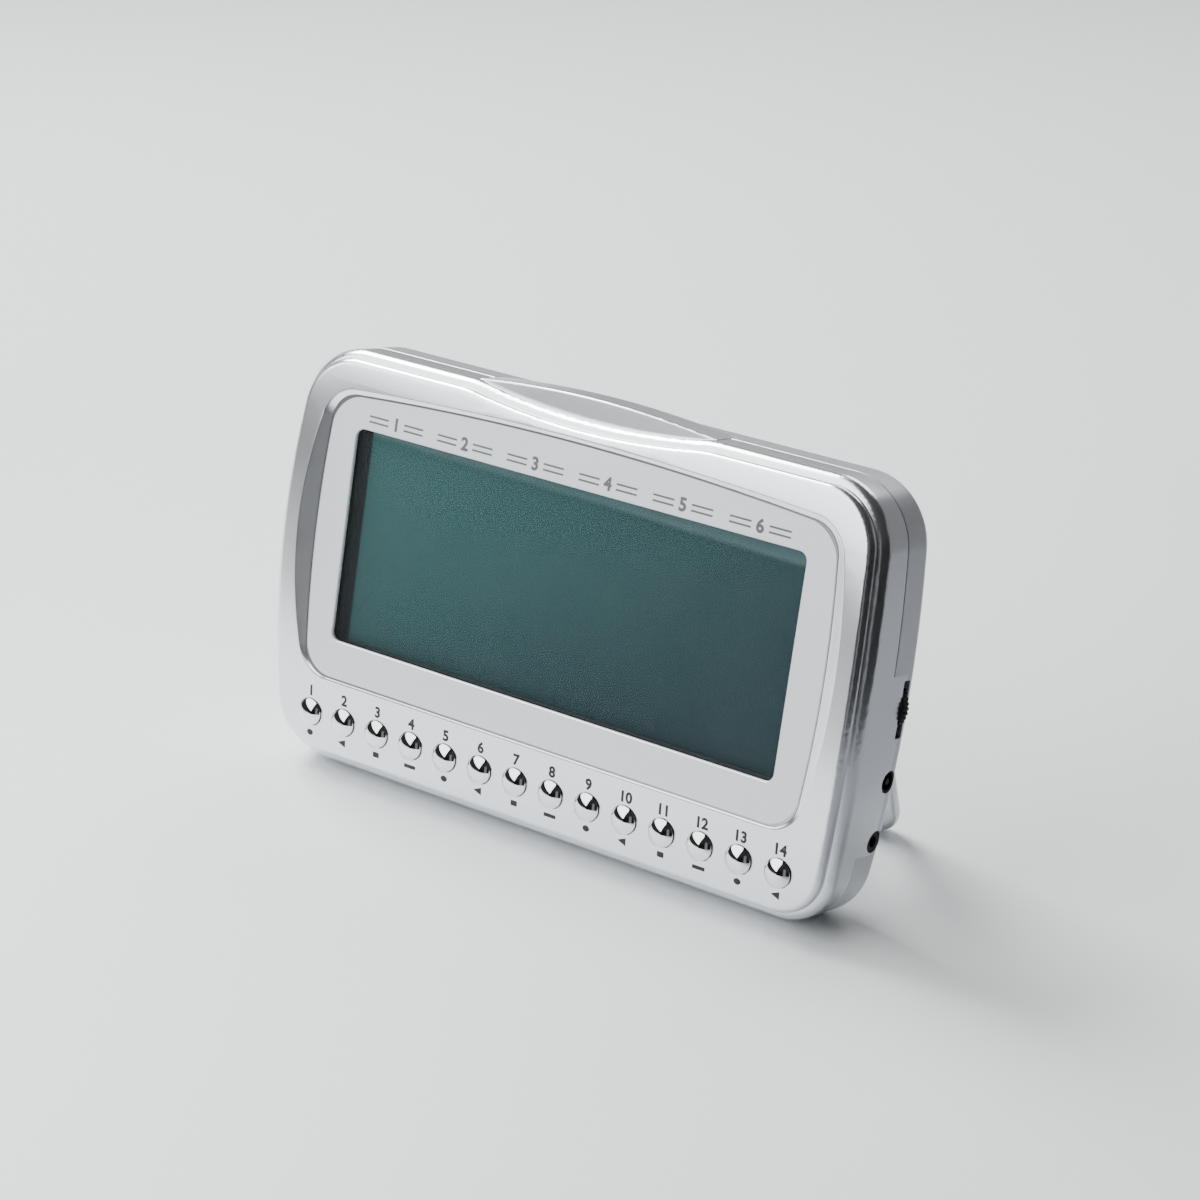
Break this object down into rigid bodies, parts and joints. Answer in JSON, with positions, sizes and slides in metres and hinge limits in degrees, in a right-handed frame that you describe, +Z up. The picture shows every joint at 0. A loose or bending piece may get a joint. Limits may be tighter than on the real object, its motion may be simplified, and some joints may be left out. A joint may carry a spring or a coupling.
{
  "type": "azan clock",
  "caption": "Desk azan clock with a wide LCD window in a crowned silver bezel, a row of chrome keys, a snooze bar, side volume wheel and sockets, and a fold-out stand.",
  "frame": {"origin": "on the table, below the middle of the whole clock with its stand open", "axes": "+X to the right seen from the front, +Y from the face to the back, +Z up; the face leans back 13 degrees"},
  "size_m": [0.2312, 0.0814, 0.1407],
  "materials": {
    "silver_paint": "metallic silver paint over plastic",
    "rear_paint": "satin silver-grey paint over plastic",
    "panel_paint": "satin metallic silver",
    "clear_lens": "clear, polished",
    "black_plastic": "moulded black",
    "display_glass": "dark teal display, blank",
    "elastomer": "moulded",
    "board_green": "solder mask",
    "screw_steel": "zinc plated",
    "chrome_cap": "mirror bright",
    "ribbon_white": "flat ribbon",
    "wheel_black": "knurled",
    "ferrite": "dark ferrite",
    "paper_cone": "black paper cone",
    "cell_can": "plain sleeve"
  },
  "bodies": {
    "housing": {"front_frame": "silver_paint", "rear_cover": "rear_paint", "display_panel": "panel_paint", "display_lens": "clear_lens", "display_surround": "black_plastic", "lcd_glass": "display_glass", "zebra_strips": "elastomer", "main_board": "board_green", "board_screws": "screw_steel", "key_switches": "black_plastic", "key_board": "board_green", "ribbon": "ribbon_white", "snooze_switches": "black_plastic", "snooze_board": "board_green", "side_board": "board_green", "volume_pot": "black_plastic", "power_jack": "black_plastic", "audio_jack": "black_plastic", "speaker_basket": "screw_steel", "speaker_magnet": "ferrite", "speaker_cone": "paper_cone", "batteries": "cell_can", "battery_springs": "screw_steel", "battery_contacts": "screw_steel", "housing_screws": "screw_steel"},
    "battery_door": {"battery_door": "rear_paint"},
    "button_01": {"button_01": "chrome_cap"},
    "button_02": {"button_02": "chrome_cap"},
    "button_03": {"button_03": "chrome_cap"},
    "button_04": {"button_04": "chrome_cap"},
    "button_05": {"button_05": "chrome_cap"},
    "button_06": {"button_06": "chrome_cap"},
    "button_07": {"button_07": "chrome_cap"},
    "button_08": {"button_08": "chrome_cap"},
    "button_09": {"button_09": "chrome_cap"},
    "button_10": {"button_10": "chrome_cap"},
    "button_11": {"button_11": "chrome_cap"},
    "button_12": {"button_12": "chrome_cap"},
    "button_13": {"button_13": "chrome_cap"},
    "button_14": {"button_14": "chrome_cap"},
    "snooze_bar": {"snooze_bar": "silver_paint"},
    "stand": {"stand": "rear_paint"},
    "volume_wheel": {"volume_wheel": "wheel_black"}
  },
  "joints": [
    {"name": "button_01_press", "type": "slide", "parent": "housing", "child": "button_01", "axis": [0, 0.9744, -0.225], "range_m": [0, 0.0008], "stiffness_N_per_m": 900, "springref_m": -0.0004},
    {"name": "button_02_press", "type": "slide", "parent": "housing", "child": "button_02", "axis": [0, 0.9744, -0.225], "range_m": [0, 0.0008], "stiffness_N_per_m": 900, "springref_m": -0.0004},
    {"name": "button_03_press", "type": "slide", "parent": "housing", "child": "button_03", "axis": [0, 0.9744, -0.225], "range_m": [0, 0.0008], "stiffness_N_per_m": 900, "springref_m": -0.0004},
    {"name": "button_04_press", "type": "slide", "parent": "housing", "child": "button_04", "axis": [0, 0.9744, -0.225], "range_m": [0, 0.0008], "stiffness_N_per_m": 900, "springref_m": -0.0004},
    {"name": "button_05_press", "type": "slide", "parent": "housing", "child": "button_05", "axis": [0, 0.9744, -0.225], "range_m": [0, 0.0008], "stiffness_N_per_m": 900, "springref_m": -0.0004},
    {"name": "button_06_press", "type": "slide", "parent": "housing", "child": "button_06", "axis": [0, 0.9744, -0.225], "range_m": [0, 0.0008], "stiffness_N_per_m": 900, "springref_m": -0.0004},
    {"name": "button_07_press", "type": "slide", "parent": "housing", "child": "button_07", "axis": [0, 0.9744, -0.225], "range_m": [0, 0.0008], "stiffness_N_per_m": 900, "springref_m": -0.0004},
    {"name": "button_08_press", "type": "slide", "parent": "housing", "child": "button_08", "axis": [0, 0.9744, -0.225], "range_m": [0, 0.0008], "stiffness_N_per_m": 900, "springref_m": -0.0004},
    {"name": "button_09_press", "type": "slide", "parent": "housing", "child": "button_09", "axis": [0, 0.9744, -0.225], "range_m": [0, 0.0008], "stiffness_N_per_m": 900, "springref_m": -0.0004},
    {"name": "button_10_press", "type": "slide", "parent": "housing", "child": "button_10", "axis": [0, 0.9744, -0.225], "range_m": [0, 0.0008], "stiffness_N_per_m": 900, "springref_m": -0.0004},
    {"name": "button_11_press", "type": "slide", "parent": "housing", "child": "button_11", "axis": [0, 0.9744, -0.225], "range_m": [0, 0.0008], "stiffness_N_per_m": 900, "springref_m": -0.0004},
    {"name": "button_12_press", "type": "slide", "parent": "housing", "child": "button_12", "axis": [0, 0.9744, -0.225], "range_m": [0, 0.0008], "stiffness_N_per_m": 900, "springref_m": -0.0004},
    {"name": "button_13_press", "type": "slide", "parent": "housing", "child": "button_13", "axis": [0, 0.9744, -0.225], "range_m": [0, 0.0008], "stiffness_N_per_m": 900, "springref_m": -0.0004},
    {"name": "button_14_press", "type": "slide", "parent": "housing", "child": "button_14", "axis": [0, 0.9744, -0.225], "range_m": [0, 0.0008], "stiffness_N_per_m": 900, "springref_m": -0.0004},
    {"name": "snooze_press", "type": "slide", "parent": "housing", "child": "snooze_bar", "axis": [0, -0.225, -0.9744], "range_m": [0, 0.0008], "stiffness_N_per_m": 1500, "springref_m": -0.0006},
    {"name": "volume_turn", "type": "hinge", "parent": "housing", "child": "volume_wheel", "pos_m": [0.10664, -0.00536, 0.06827], "axis": [0, 0.9744, -0.225], "range_deg": [-135, 135]},
    {"name": "door_hinge", "type": "hinge", "parent": "housing", "child": "battery_door", "pos_m": [-0.04184, 0.00163, 0.05175], "axis": [-1, 0, 0], "range_deg": [0, 55]},
    {"name": "stand_hinge", "type": "hinge", "parent": "housing", "child": "stand", "pos_m": [-0.00064, 0.01139, 0.1035], "axis": [-1, 0, 0], "range_deg": [0, 27.66]}
  ]
}
